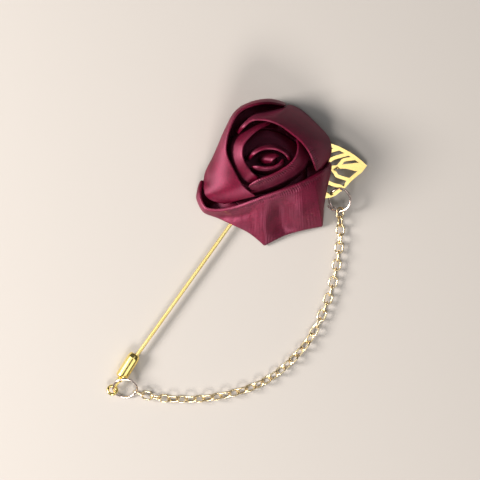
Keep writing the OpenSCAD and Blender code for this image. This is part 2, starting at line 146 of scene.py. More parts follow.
def joined(*parts):
    """One bmesh of several, each with its place: (bmesh, position, turn in degrees about x, y and z)."""
    whole = bmesh.new()
    for bm, at, turn in parts:
        laid(bm, at, Euler([radians(t) for t in turn]).to_matrix())
        mesh = bpy.data.meshes.new("shell")
        bm.to_mesh(mesh)
        bm.free()
        whole.from_mesh(mesh)
        bpy.data.meshes.remove(mesh)
    return whole


# ---------------------------------------------------------------- materials

# A mix node has several sockets of one name: these are the ones that it uses for colours
MIX_SHARE, MIX_A, MIX_B, MIX_RESULT = 0, 6, 7, 2


def times(material, first, by, share):
    """One colour multiplied by another, as far as the share says."""
    node = add(material, "ShaderNodeMix", {"data_type": "RGBA", "blend_type": "MULTIPLY"})
    node.inputs[MIX_SHARE].default_value = share
    material.node_tree.links.new(first, node.inputs[MIX_A])
    material.node_tree.links.new(by, node.inputs[MIX_B])
    return node.outputs[MIX_RESULT]


def satin(name, base, lit, deep):
    """Polyester satin ribbon: long warp floats give a soft, broad shine along the ribbon."""
    m = new_material(name)
    # The map is in centimetres: x along the ribbon, y across it
    uv = add(m, "ShaderNodeUVMap", {"uv_map": "ribbon"}).outputs[0]
    # Picks of the weave are 0.12 mm apart, drawn at 0.4 mm to show at all
    picks = add(m, "ShaderNodeTexWave",
                {"wave_type": "BANDS", "bands_direction": "X", "Scale": 8.0, "Distortion": 1.2,
                 "Detail": 2.0, "Detail Scale": 1.5}, Vector=uv).outputs["Fac"]
    # Floats lie in bundles of about 0.8 by 0.3 mm here, as single ones would not show
    stretched = add(m, "ShaderNodeMapping", {"Scale": (4.0, 10.0, 1.0)}, Vector=uv).outputs[0]
    floats = add(m, "ShaderNodeTexNoise", {"Scale": 3.0, "Detail": 5.0, "Roughness": 0.65},
                 Vector=stretched).outputs["Fac"]
    # The dye is a little uneven, in patches some 8 mm wide
    slow = add(m, "ShaderNodeTexNoise", {"Scale": 1.3, "Detail": 2.0}, Vector=uv).outputs["Fac"]
    tint = ramp(m, slow, [(0.30, deep), (0.52, base), (0.75, lit)])
    thread = ramp(m, floats, [(0.42, "#969696"), (0.58, "#FFFFFF")])
    woven = times(m, tint, thread, 0.75)
    # Stitches draw the cloth in: the base colour is darkened in the little hollows, as painted shade
    pucker_shade_mask = add(m, "ShaderNodeAttribute", {"attribute_name": "pucker_shade_mask"}).outputs["Fac"]
    painted_pucker_shade = ramp(m, pucker_shade_mask, [(0.15, "#FFFFFF"), (0.85, "#6E5A62")])
    shine = add(m, "ShaderNodeMapRange",
                {"From Min": 0.3, "From Max": 0.7, "To Min": 0.42, "To Max": 0.54}, Value=floats)
    bump_floats = add(m, "ShaderNodeBump", {"Strength": 0.10, "Distance": 0.0002}, Height=floats)
    bump_picks = add(m, "ShaderNodeBump", {"Strength": 0.05, "Distance": 0.0001}, Height=picks,
                     Normal=bump_floats.outputs[0])
    tangent = add(m, "ShaderNodeTangent", {"direction_type": "UV_MAP", "uv_map": "ribbon"})
    # Smooth filament: the shine is wide and pink, and a faint sheen lifts the grazed edges
    shader = add(m, "ShaderNodeBsdfPrincipled",
                 {"Anisotropic": 0.85, "Anisotropic Rotation": 0.25, "IOR": 1.6,
                  "Specular IOR Level": 0.85, "Specular Tint": colour("#FF94BA"),
                  "Sheen Weight": 0.06, "Sheen Roughness": 0.4, "Sheen Tint": colour("#C8466E")},
                 Base_Color=times(m, woven, painted_pucker_shade, 1.0), Roughness=shine.outputs[0],
                 Normal=bump_picks.outputs[0], Tangent=tangent.outputs[0])
    return finish_material(m, shader)


def plated(name, bright, worn, roughness, wear):
    """Polished plate on brass: mirror-bright with faint polishing lines and slightly dulled patches."""
    m = new_material(name)
    # The coordinates are in metres: lines about 1 mm apart, patches about 6 mm wide
    place = add(m, "ShaderNodeTexCoord").outputs["Object"]
    lines = add(m, "ShaderNodeTexNoise", {"Scale": 900.0, "Detail": 3.0}, Vector=place).outputs["Fac"]
    patches = add(m, "ShaderNodeTexNoise", {"Scale": 160.0, "Detail": 2.0}, Vector=place).outputs["Fac"]
    tone = ramp(m, patches, [(0.35, worn), (0.65, bright)])
    dull = add(m, "ShaderNodeMapRange",
               {"From Min": 0.3, "From Max": 0.7, "To Min": roughness - 0.03 * wear,
                "To Max": roughness + 0.04 * wear}, Value=lines)
    bump = add(m, "ShaderNodeBump", {"Strength": 0.02 * wear, "Distance": 0.00005}, Height=lines)
    shader = add(m, "ShaderNodeBsdfPrincipled", {"Metallic": 1.0}, Base_Color=tone,
                 Roughness=dull.outputs[0], Normal=bump.outputs[0])
    return finish_material(m, shader)


# Wine-red ribbon: pink where it shines, nearly black in the folds
ribbon_satin = satin("wine_satin_ribbon", base="#5E0824", lit="#6E0C2C", deep="#480519")
# Punched sheet, plated in yellow gold and polished: it throws the light back as one bright face
gold_plate = plated("yellow_gold_plate", "#FFE89C", "#F8D888", roughness=0.13, wear=0.5)
# Turned and polished barrel: two bright bands with dark between them
clutch_plate = plated("polished_gold_clutch", "#FFEA96", "#FADF84", roughness=0.17, wear=0.3)
# Drawn wire, plated but not buffed: one soft line of light along it
wire_plate = plated("drawn_gold_plated_wire", "#FFEAA0", "#FADE8C", roughness=0.22, wear=0.2)
# Tumbled links in a paler plate: small glints and softened edges
chain_plate = plated("pale_gold_plated_chain", "#FBEAC4", "#EED8A8", roughness=0.22, wear=1.0)
# Champagne plate on polished ring wire: nearly white, with a rosy cast
ring_plate = plated("champagne_plated_ring", "#F6E8E0", "#E4D2C8", roughness=0.16, wear=0.3)


# ---------------------------------------------------------------- rose

def row_near(rows, i):
    """Row i of a table, or its first or last row where i is past them."""
    return rows[max(0, min(len(rows) - 1, i))]


def slope(rows, i):
    """How much each column changes from row to row at row i."""
    return [(b - a) / 2 for a, b in zip(row_near(rows, i - 1), row_near(rows, i + 1))]


def curve(a, b, slope_a, slope_b, t):
    """Value between two rows, for the slopes that the curve has at each of them."""
    return (a * (2 * t ** 3 - 3 * t ** 2 + 1) + slope_a * (t ** 3 - 2 * t ** 2 + t)
            + b * (3 * t ** 2 - 2 * t ** 3) + slope_b * (t ** 3 - t ** 2))


# Columns of a petal's table: the lip's place, the lower edge's place, how far the wall bows out
# between them, 1 where the lower edge turns a sharp corner, and how far the hem is tucked under
LIP, EDGE, BOW, CORNER, TUCK = slice(0, 3), slice(3, 6), 6, 7, 8


def station(rows, u):
    """One row of a petal's table at any place u along it, from 0 to the last row's number."""
    i = min(int(u), len(rows) - 2)
    t = u - i
    a, b = rows[i], rows[i + 1]
    slope_a, slope_b = slope(rows, i), slope(rows, i + 1)
    found = []
    for k in range(len(a)):
        if k < BOW:
            soft_a = 1 - a[CORNER] if k >= EDGE.start else 1
            soft_b = 1 - b[CORNER] if k >= EDGE.start else 1
            found.append(curve(a[k], b[k], slope_a[k] * soft_a, slope_b[k] * soft_b, t))
        else:
            found.append(a[k] * (1 - t) + b[k] * t)
    return found


HEM_PAST_RIM = 0.12
HEM_UP_RIM = 0.7
HEM_SAG = 0.2


def rim_point(p):
    """Where a fully tucked hem ends, at the base's rim on the side that p is on."""
    out = Vector((p.x - BASE_AT.x, p.y - BASE_AT.y, 0)).normalized() * (BASE_R + HEM_PAST_RIM)
    return Vector((BASE_AT.x + out.x, BASE_AT.y + out.y, BASE_Z + BASE_H * HEM_UP_RIM))


def wall_point(rows, u, v):
    """Middle of the petal's wall: v is 0 at the lip, 1 at the lower edge, 2 where the hem ends."""
    row = station(rows, u)
    top = Vector(row[LIP]) - UP * (WALL / 2)
    low = Vector(row[EDGE])
    away = Vector((low.x - BASE_AT.x, low.y - BASE_AT.y, 0)).normalized()
    foot = low - away * (WALL / 2)
    chord = foot - top
    side = chord.cross(UP).normalized()
    stand = side.cross(chord).normalized()
    knee = (top + foot) / 2 + stand * row[BOW] * 2
    if v <= 1:
        return top * (1 - v) ** 2 + knee * 2 * v * (1 - v) + foot * v ** 2
    rim = foot + (rim_point(foot) - foot) * row[TUCK]
    w = v - 1
    return foot + (rim - foot) * w - UP * (HEM_SAG * sin(pi * w) * row[TUCK])


# How far either side of a place the wall is felt for its direction, in rows and in v
FEEL_ALONG = 0.04
FEEL_DOWN = 0.05


def outwards(rows, u, v):
    """The direction out of the petal's face at a place of its wall."""
    last = len(rows) - 1
    along = (wall_point(rows, min(u + FEEL_ALONG, last), v)
             - wall_point(rows, max(u - FEEL_ALONG, 0), v))
    down = wall_point(rows, u, min(v + FEEL_DOWN, 2)) - wall_point(rows, u, max(v - FEEL_DOWN, 0))
    return down.cross(along).normalized()


def from_line(x, y, line):
    """Distance from a line of points in plan, and how far along it (0 to 1) the nearest place is."""
    best = (inf, 0)
    for i in range(len(line) - 1):
        (ax, ay), (bx, by) = line[i], line[i + 1]
        span = (bx - ax) ** 2 + (by - ay) ** 2
        t = max(0.0, min(1.0, ((x - ax) * (bx - ax) + (y - ay) * (by - ay)) / span))
        d = hypot(x - ax - t * (bx - ax), y - ay - t * (by - ay))
        best = min(best, (d, (i + t) / (len(line) - 1)))
    return best


# Folds pressed into the faces: line in plan from the rose's place, depth and half width in
# millimetres, and the share of the line over which each end fades. A ridge has a depth below 0.
PRESSED = {
    "petal_front": [
        # the crease under the rolled band on the left
        ([(-15.0, -15.2), (-12.8, -16.0), (-10.6, -16.3), (-7.8, -15.9), (-5.6, -15.0), (-3.6, -13.6)],
         0.6, 0.65, 0.25),
        # the ridge on the left of the valley, the valley itself and the fullness on its right
        ([(-4.6, -13.5), (-2.6, -17.5), (-1.6, -22.5)], -0.6, 1.8, 0.4),
        ([(1.6, -10.6), (3.2, -14.6), (3.6, -18.6), (2.4, -22.2)], 1.25, 3.0, 0.3),
        ([(6.5, -11.5), (9.5, -17.5)], -0.4, 2.6, 0.4),
    ],
    "petal_left": [
        # a crease down the left side and a short one beside the front petal
        ([(-19.0, -1.0), (-17.6, -7.5)], 0.35, 0.8, 0.25),
        ([(-16.2, -10.3), (-13.4, -12.2)], 0.3, 0.4, 0.3),
    ],
}


def pressed_in(name, p):
    """How far the face is pressed in at a place, in millimetres."""
    depth = 0
    for line, deep, width, fade in PRESSED.get(name, ()):
        d, t = from_line(p.x, p.y, line)
        ends = min(1.0, min(t, 1 - t) / fade)
        depth += deep * exp(-(d / width) ** 2) * ends * ends * (3 - 2 * ends)
    return depth


# How a petal's section is gone round: up its inside, the turn over the lip in degrees, down its
# face and, where it has one, along its hem. All but the turn are values of v.
INSIDE = [0.75, 0.55, 0.40, 0.28, 0.18, 0.10, 0.05, 0.02]
TURNS = [-75, -45, -15, 15, 45, 75]
FACE = [0.02, 0.045, 0.075, 0.11, 0.15, 0.20, 0.27, 0.34, 0.42, 0.50, 0.58, 0.66, 0.74, 0.82, 0.89,
        0.94, 0.975]
LOWER_EDGE = [1.0]
HEM = [1.03, 1.08, 1.18, 1.32, 1.5, 1.75, 2.0]

# Puckers where the fold is sewn: from and to row, depth in millimetres
PUCKERED = {
    "petal_front": (5.0, 11.4, 0.36),
    "petal_back": (0.0, 2.4, 0.32),
    "petal_inner_front": (0.0, 4.6, 0.34),
}
NOT_PUCKERED = (0, 0, 0)
# In millimetres: from pucker to pucker, how far below the lip, and how far up and down from there
PUCKER_PITCH = 0.66
PUCKER_BELOW = 0.88
PUCKER_REACH = 0.5
# How far a pucker slants for its height, and over how many rows the puckers begin and end
PUCKER_SLANT = 0.5
PUCKER_START = 0.5
PUCKER_END = 0.8


def waver(middle, swing, rate, s, shift=0.0):
    """A value that wavers along the lip, so that no two stitches are alike."""
    return middle + swing * sin(rate * s + shift)


def puckered(name, u, s, near):
    """How far a stitch pulls the cloth in (0 to 1), s millimetres along the lip and near below it."""
    start, end, _ = PUCKERED.get(name, NOT_PUCKERED)
    if not start < u < end:
        return 0
    begun = (u - start) / PUCKER_START if start else 1.0
    fade = min(1.0, begun, (end - u) / PUCKER_END)
    uneven = waver(0.75, 0.25, 1.9, s, 1.0)
    phase = 2 * pi * (s - PUCKER_SLANT * near) / PUCKER_PITCH + waver(0, 1.1, 0.8, s)
    reach = PUCKER_REACH * waver(1.2, 0.3, 0.55, s)
    return fade * uneven * (0.5 + 0.5 * sin(phase)) * exp(-((near - PUCKER_BELOW) / reach) ** 2)


# Columns of a petal's mesh from one row to the next, plain and where the fold is puckered
COLUMNS = 8
FINE_COLUMNS = 36


def places_along(name, last):
    """Rows at which a petal's mesh has its columns: closer together where the fold is puckered."""
    start, end, _ = PUCKERED.get(name, NOT_PUCKERED)
    places = []
    for row in range(last):
        n = FINE_COLUMNS if start < row + 1 and end > row else COLUMNS
        places += [row + k / n for k in range(n)]
    return places + [float(last)]


# The wall thins out over the last part of a row at each end of the ribbon, to this share
END_ROWS = 0.8
END_WALL = 0.3
# How far the fold's fullness reaches below the lip, in millimetres
PUFF_REACH = 1.3
# The pressed folds run out over this last share of the face, above the lower edge
EDGE_EASE = 0.1
# How far down the wall it is felt which way is up at the lip
FEEL_LIP = 0.08
RIBBON_THICK = 0.3


def make_petal(name, shown_for, rows, tucked, puff=-0.25):
    """A ribbon folded over its lip: an outer face, a rounded fold and a face inside."""
    section = ([(v, -90) for v in INSIDE] + [(0.0, turn) for turn in TURNS]
               + [(v, 90) for v in FACE + LOWER_EDGE + (HEM if tucked else [])])
    last = len(rows) - 1
    places = places_along(shown_for, last)
    columns = len(places) - 1
    pucker_depth = PUCKERED.get(shown_for, NOT_PUCKERED)[2]
    lip_points = [wall_point(rows, u, 0) for u in places]
    lip_length = [0.0]
    for a, b in zip(lip_points, lip_points[1:]):
        lip_length.append(lip_length[-1] + (b - a).length)
    bm = bmesh.new()
    uv = bm.loops.layers.uv.new("ribbon")
    # The pull of each stitch, kept as the mask for the shade painted into the pucker hollows
    pucker_shade_mask = bm.verts.layers.float.new("pucker_shade_mask")
    bmesh.ops.create_grid(bm, x_segments=columns, y_segments=len(section) - 1, size=0.5)
    spots = {}
    for vert in bm.verts:
        i = round((vert.co.x + 0.5) * columns)
        j = round((vert.co.y + 0.5) * (len(section) - 1))
        u = places[i]
        v, turn = section[j]
        middle = wall_point(rows, u, v)
        normal = outwards(rows, u, v)
        up = (wall_point(rows, u, 0) - wall_point(rows, u, FEEL_LIP)).normalized()
        end = min(1.0, min(u, last - u) / END_ROWS)
        near = (wall_point(rows, u, 0) - middle).length
        half = WALL / 2 * (END_WALL + (1 - END_WALL) * end * (2 - end))
        half *= 1 + puff * exp(-(near / PUFF_REACH) ** 2)
        if turn > 0 and v <= 1:
            pull = puckered(shown_for, u, lip_length[i], near)
            vert[pucker_shade_mask] = pull
            half -= pucker_depth * pull
        place = middle + normal * half * sin(radians(turn)) + up * half * cos(radians(turn))
        if abs(turn) == 90 and v <= 1:
            place -= normal * pressed_in(shown_for, place) * min(1, (1 - v) / EDGE_EASE)
        vert.co = place
        spots[vert] = (i, j)
    # The ribbon's own lengths, for its weave: centimetres along and across it, from the lip
    by_spot = {spot: vert for vert, spot in spots.items()}
    lip = len(INSIDE) + len(TURNS) // 2
    along = [0.0]
    for i in range(columns):
        along.append(along[-1] + (by_spot[i + 1, lip].co - by_spot[i, lip].co).length)
    down = {}
    for i in range(columns + 1):
        total = 0.0
        down[i, 0] = 0.0
        for j in range(1, len(section)):
            total += (by_spot[i, j].co - by_spot[i, j - 1].co).length
            down[i, j] = total
    for face in bm.faces:
        for loop in face.loops:
            i, j = spots[loop.vert]
            loop[uv].uv = (along[i] / CM_IN_MM, (down[i, j] - down[i, lip]) / CM_IN_MM)
    # The thickness is added inwards, so the normals have to point out of the face
    bmesh.ops.recalc_face_normals(bm, faces=bm.faces)
    i, j = columns // 2, len(INSIDE) + len(TURNS) + 4
    if by_spot[i, j].normal.dot(outwards(rows, places[i], section[j][0])) < 0:
        bmesh.ops.reverse_faces(bm, faces=bm.faces)
    laid(bm, ROSE_AT)
    piece = make_piece(name, bm, ribbon_satin, [shown_for])
    cloth = piece.modifiers.new("ribbon", "SOLIDIFY")
    cloth.thickness = RIBBON_THICK * MM
    cloth.offset = -1
    round_off = piece.modifiers.new("round", "SUBSURF")
    round_off.levels = round_off.render_levels = 1
    return piece


PETAL_LEFT = [
    [4.6, 15.5, 8.6, 4.7, 16.7, 3.0, 0.3, 0, 1],
    [-0.1, 16.0, 13.0, 0.0, 17.5, 2.4, 0.5, 0, 1],
    [-4.6, 15.3, 15.4, -4.8, 16.5, 2.2, 0.6, 0, 1],
    [-8.6, 13.3, 16.0, -9.0, 14.2, 2.6, 0.6, 0, 1],
    [-11.0, 9.4, 16.0, -11.8, 9.8, 3.0, 0.6, 0, 1],
    [-12.3, 4.7, 16.0, -14.2, 5.0, 3.0, 0.8, 0, 1],
    [-12.2, 1.3, 16.0, -16.6, 0.4, 3.0, 1.0, 0, 1],
    [-10.3, -3.0, 16.0, -18.7, -4.3, 3.0, 1.2, 0, 1],
    [-7.8, -7.3, 15.4, -18.2, -9.9, 4.8, 1.2, 0, 0.4],
    [-4.2, -10.2, 14.2, -12.8, -12.5, 6.6, 0.8, 0, 0.2]]

PETAL_FRONT = [
    [-19.25, -5.4, 4.5, -19.9, -5.5, 2.1, 0.1, 0, 0.15],
    [-19.7, -8.2, 5.6, -20.6, -8.4, 2.0, 0.1, 0, 0.25],
    [-19.6, -10.6, 6.2, -20.8, -11.0, 2.0, 0.1, 0, 0.4],
    [-17.9, -13.5, 7.4, -18.9, -14.5, 1.0, 0.2, 0.3, 1],
    [-14.2, -14.0, 8.8, -14.9, -16.2, 2.4, -0.3, 0, 1],
    [-9.7, -13.2, 10.6, -10.4, -18.4, 3.6, -0.8, 0, 1],
    [-5.0, -11.6, 12.8, -5.6, -20.9, 2.6, -0.7, 0, 1],
    [-1.0, -10.1, 14.2, -1.4, -24.3, 0.5, -0.4, 1, 1],
    [3.5, -8.5, 15.0, 4.4, -21.4, 1.2, 0.0, 0, 1],
    [8.5, -6.6, 15.0, 10.0, -19.7, 1.2, 0.9, 0, 1],
    [12.0, -4.8, 14.0, 15.2, -18.6, 0.5, 1.4, 1, 1],
    [14.4, -3.5, 12.5, 15.6, -12.0, 4.3, 0.9, 0, 1],
    [16.0, -2.2, 10.5, 17.0, -5.0, 4.4, 0.6, 0, 1],
    [16.9, -0.3, 9.0, 17.9, -0.8, 4.2, 0.3, 0, 1]]

PETAL_BACK = [
    [12.9, -3.0, 14.4, 16.2, -2.0, 7.4, 0.0, 0, 0.4],
    [11.8, 0.2, 16.8, 17.4, 2.0, 5.6, 0.8, 0, 0.95],
    [10.2, 3.1, 17.8, 17.6, 4.2, 4.6, 1.2, 0, 1],
    [8.1, 5.5, 18.0, 16.6, 7.2, 4.2, 1.6, 0, 1],
    [5.0, 8.0, 18.0, 12.9, 11.3, 2.6, 1.8, 0, 1],
    [3.2, 9.3, 18.0, 9.2, 14.8, 0.6, 1.6, 0, 1],
    [1.8, 10.0, 18.0, 6.0, 16.2, 1.6, 1.2, 0, 0.8],
    [0.2, 10.6, 18.0, 4.2, 15.1, 5.9, 0.8, 0, 0.25],
    [-1.8, 11.0, 18.0, 0.2, 14.2, 6.2, 0.5, 0, 0.2],
    [-5.0, 10.9, 17.4, -4.4, 13.3, 6.4, 0.3, 0, 0.25],
    [-7.6, 8.9, 16.6, -7.9, 10.2, 6.4, 0.2, 0, 0.4],
    [-8.9, 7.2, 14.4, -9.9, 8.5, 10.3, 0.2, 0, 0.2]]

PETAL_INNER_LEFT = [
    [0.2, 10.3, 15.6, -1.4, 11.1, 6.0, 0.3, 0, 0],
    [-1.5, 9.4, 17.5, -3.5, 10.5, 6.0, 0.4, 0, 0],
    [-4.2, 7.8, 18.5, -6.2, 9.4, 6.0, 0.5, 0, 0],
    [-7.2, 4.6, 18.5, -10.9, 6.2, 6.0, 0.9, 0, 0],
    [-7.9, 1.5, 18.5, -11.7, 1.6, 6.0, 1.0, 0, 0],
    [-7.1, -1.2, 18.5, -10.6, -3.0, 6.0, 1.0, 0, 0],
    [-5.4, -3.6, 18.3, -8.2, -6.4, 6.0, 0.8, 0, 0],
    [-3.9, -4.8, 17.5, -5.7, -7.4, 6.0, 0.5, 0, 0],
    [-2.7, -5.8, 15.6, -4.4, -7.9, 6.0, 0.3, 0, 0]]

PETAL_INNER_FRONT = [
    [-5.9, -7.3, 17.0, -5.3, -10.0, 6.0, 0.3, 0, 0],
    [-2.9, -5.7, 18.3, -1.8, -9.4, 6.0, 0.7, 0, 0],
    [0.6, -4.4, 18.5, 1.9, -8.3, 6.0, 0.8, 0, 0],
    [3.4, -2.9, 18.5, 5.5, -6.4, 6.0, 0.9, 0, 0],
    [5.9, -1.1, 18.5, 8.9, -3.6, 6.0, 0.9, 0, 0],
    [7.4, 1.1, 18.4, 10.9, 0.2, 6.0, 0.9, 0, 0],
    [7.8, 3.0, 18.0, 11.1, 3.4, 6.0, 0.6, 0, 0],
    [7.7, 4.4, 17.2, 9.9, 5.8, 6.0, 0.4, 0, 0],
    [7.3, 5.5, 15.8, 8.4, 7.4, 6.0, 0.3, 0, 0]]

PETAL_HEART_BACK = [
    [5.4, -0.5, 16.6, 6.4, 0.1, 6.0, 0.2, 0, 0],
    [5.0, 0.4, 18.5, 6.1, 1.5, 6.0, 0.2, 0, 0],
    [3.9, 1.7, 19.0, 4.9, 3.1, 6.0, 0.2, 0, 0],
    [1.6, 2.8, 19.0, 1.9, 4.4, 6.0, 0.2, 0, 0],
    [-1.0, 3.0, 19.0, -1.3, 4.6, 6.0, 0.2, 0, 0],
    [-3.3, 2.3, 19.0, -4.3, 3.6, 6.0, 0.2, 0, 0],
    [-5.0, 1.1, 18.3, -6.2, 1.8, 6.0, 0.2, 0, 0],
    [-5.9, -0.1, 16.4, -7.2, 0.2, 6.0, 0.2, 0, 0]]

PETAL_HEART_FRONT = [
    [-5.1, -2.0, 17.8, -5.9, -3.0, 6.0, 0.2, 0, 0],
    [-3.2, -2.2, 18.7, -3.5, -3.6, 6.0, 0.2, 0, 0],
    [-1.2, -2.4, 19.0, -1.0, -3.9, 6.0, 0.2, 0, 0],
    [1.1, -2.1, 19.0, 2.0, -3.3, 6.0, 0.2, 0, 0],
    [2.7, -1.2, 19.0, 4.0, -1.8, 6.0, 0.2, 0, 0],
    [3.4, 0.0, 18.6, 4.5, 0.0, 6.0, 0.2, 0, 0]]

ROSE_HEART = [
    [2.4, 1.0, 18.0, 1.9, 1.9, 12.5, 0.0, 0, 0],
    [1.6, 0.8, 18.8, 0.3, 2.1, 12.5, 0.0, 0, 0],
    [0.8, 0.2, 18.9, -1.8, 2.0, 12.5, 0.0, 0, 0],
    [0.3, -0.5, 18.6, -2.9, 0.9, 12.5, 0.0, 0, 0],
    [0.1, -1.1, 18.0, -2.6, -0.6, 12.5, 0.0, 0, 0]]

# The piece, the part's node that it is shown for, its table and whether it has a hem.
# The front petal's fold is fuller than the others'.
make_petal("satin_petal_left", "petal_left", PETAL_LEFT, True)
make_petal("satin_petal_front", "petal_front", PETAL_FRONT, True, puff=-0.1)
make_petal("satin_petal_back", "petal_back", PETAL_BACK, True)
make_petal("satin_petal_inner_left", "petal_inner_left", PETAL_INNER_LEFT, False)
make_petal("satin_petal_inner_front", "petal_inner_front", PETAL_INNER_FRONT, False)
make_petal("satin_petal_heart_back", "petal_heart_back", PETAL_HEART_BACK, False)
make_petal("satin_petal_heart_front", "petal_heart_front", PETAL_HEART_FRONT, False)
make_petal("satin_bud", "rose_heart", ROSE_HEART, False)


# Sections turned on their own axes, as (radius, height over the base's underside)
BASE_SECTION = [(0.0, 0.12), (3.0, 0.05), (6.0, 0.02), (9.0, 0.02), (11.3, 0.0), (13.2, -0.02),
                (13.35, 0.03), (13.2, 0.08), (12.0, 0.12), (11.9, 0.35), (11.9, 0.75), (11.4, 1.12),
                (9.0, 1.2), (5.0, 1.2), (0.0, 1.2)]
STEM_SECTION = [(0.0, 0.7), (2.1, 0.7), (2.1, 4.0), (2.1, 6.6), (1.9, 7.3), (1.2, 7.5), (0.0, 7.5)]
STEM_AT = Vector((0.0, 0.2, 0))
# The thin flange reaches out under the hems, further at the open corner: direction and spread in
# degrees, and by which share
FLANGE_FROM = 13
LEDGE_TURN = 9
LEDGE_SPREAD = 12
LEDGE_SHARE = 0.06
# Gathers of the underside: how many, how deep, between which radii, over what run they deepen, and
# the height under which the section counts as underside
GATHERS = 36
GATHER_DEPTH = 0.22
GATHER_FROM = 2.5
GATHER_TO = 11
GATHER_RUN = 3
UNDERSIDE = 0.6
ROLL_WAVE = 0.03


def make_base():
    """The gathered and sewn ribbon ends under the folds, with the rolled stem of the heart."""
    base = turned(BASE_SECTION, 144)
    for vert in base.verts:
        r = hypot(vert.co.x, vert.co.y)
        turn = atan2(vert.co.y, vert.co.x)
        if r > FLANGE_FROM:
            wider = 1 + LEDGE_SHARE * exp(-((degrees(turn) - LEDGE_TURN) / LEDGE_SPREAD) ** 2)
            vert.co.x *= wider
            vert.co.y *= wider
        if GATHER_FROM < r < GATHER_TO and vert.co.z < UNDERSIDE:
            gather = 0.5 + 0.5 * sin(GATHERS * turn + 1.5 * sin(5 * turn))
            vert.co.z += GATHER_DEPTH * gather * min(1, (r - GATHER_FROM) / GATHER_RUN)
    stem = turned(STEM_SECTION, 64)
    for vert in stem.verts:
        wave = 1 + ROLL_WAVE * sin(3 * atan2(vert.co.y, vert.co.x) + vert.co.z)
        vert.co.x *= wave
        vert.co.y *= wave
    lift = UP * BASE_Z
    bm = joined((base, ROSE_AT + BASE_AT + lift, (0, 0, 0)), (stem, ROSE_AT + STEM_AT + lift, (0, 0, 0)))
    uv = bm.loops.layers.uv.new("ribbon")
    for face in bm.faces:
        for loop in face.loops:
            at = loop.vert.co * M_IN_CM
            loop[uv].uv = (at.x, at.y + at.z)
    return make_piece("satin_gathered_base", bm, ribbon_satin, ["rose_base"])


make_base()


# ---------------------------------------------------------------- metal

def copy_of(node, weld):
    """The part's own shape, with the points of its facets welded within a distance in metres."""
    bm = bmesh.new()
    bm.from_mesh(nodes[node].data)
    bmesh.ops.remove_doubles(bm, verts=bm.verts, dist=weld)
    return bm


# Edges over so many degrees are punched edges, and are broken by so many millimetres
LEAF_SHARP = 60
LEAF_BREAK = 0.11


def make_leaf():
    """The pierced sheet with its punched edges broken, so that they catch the light."""
    bm = copy_of("leaf", 2e-6)
    bmesh.ops.dissolve_limit(bm, angle_limit=radians(1.5), use_dissolve_boundaries=False,
                             verts=bm.verts, edges=bm.edges)
    sharp = [e for e in bm.edges if e.is_manifold and e.calc_face_angle(0) > radians(LEAF_SHARP)]
    bmesh.ops.bevel(bm, geom=sharp, offset=LEAF_BREAK * MM, offset_type="OFFSET", segments=2,
                    affect="EDGES", profile=0.5, material=-1, clamp_overlap=True)
    return make_piece("pierced_leaf", bm, gold_plate, ["leaf"], smooth_angle=20)


make_leaf()
LINKS = 38
for i in range(1, LINKS + 1):
    link = "link_%02d" % i
    make_piece("chain_" + link, copy_of(link, 1e-6), chain_plate, [link], smooth_angle=50)


PAD_AT = Vector((6.3, 17.0, 2.4))
PAD_D = 13.0
PAD_H = 0.8
PAD_EDGE = 0.08
SHANK_Z = 2.0
MOUTH_AT = Vector((-28.9, -32.2, 1.78))
SHANK_D = 1.06
SHANK_L = 66.6
SHANK_PAST_PAD = 4.5
# The point's cone: its length, the run over which it leaves the wire, and where it has left it
POINT_L = 2.5
POINT_RUN = 0.3
POINT_START = 0.15
WIRE_END = 0.05


def make_shank():
    """The pin wire with its ground point, and the round pad that it is soldered to."""
    start = Vector((PAD_AT.x, PAD_AT.y, SHANK_Z))
    run = MOUTH_AT - start
    r = SHANK_D / 2
    far = SHANK_PAST_PAD + SHANK_L
    wire = [(0, 0), (r - WIRE_END, 0), (r, WIRE_END), (r, 3 * WIRE_END),
            (r, far - POINT_L - POINT_RUN), (r, far - POINT_L),
            (r * 0.97, far - POINT_L + POINT_START), (r / 8, far), (0, far)]
    pad = [(0, 0), (PAD_D / 2 - PAD_EDGE, 0), (PAD_D / 2, PAD_EDGE), (PAD_D / 2, PAD_H - PAD_EDGE),
           (PAD_D / 2 - PAD_EDGE, PAD_H), (0, PAD_H)]
    turn = (0, degrees(run.angle(UP)), degrees(atan2(run.y, run.x)))
    bm = joined((turned(wire, 48), start - run.normalized() * SHANK_PAST_PAD, turn),
                (turned(pad, 96), PAD_AT, (0, 0, 0)))
    return make_piece("pin_wire_and_pad", bm, wire_plate, ["shank"], smooth_angle=35)


make_shank()

CLUTCH_AT = Vector((-29.8, -32.6, 1.78))
CLUTCH_TURN = 238.1
CLUTCH_L = 7.9
CLUTCH_R = 1.78
NOSE_R = 1.5
NOSE_L = 1.1
BORE_R = 1.2
BORE_L = 7.0
END_ROUND = 0.9
# Turned edges are broken by this much, and rows this close keep the shading of an edge to itself
EDGE_BREAK = 0.08
CLOSE_ROW = 0.03
# Degrees between the rows of a rounding
ROUND_STEP = 9
NECK_D = 1.7
BAIL_D = 1.0
EYE_AT = Vector((-36.35, -42.7, 1.95))
EYE_R = 1.24
EYE_WIRE = 0.86
EYE_TILT = 17.5


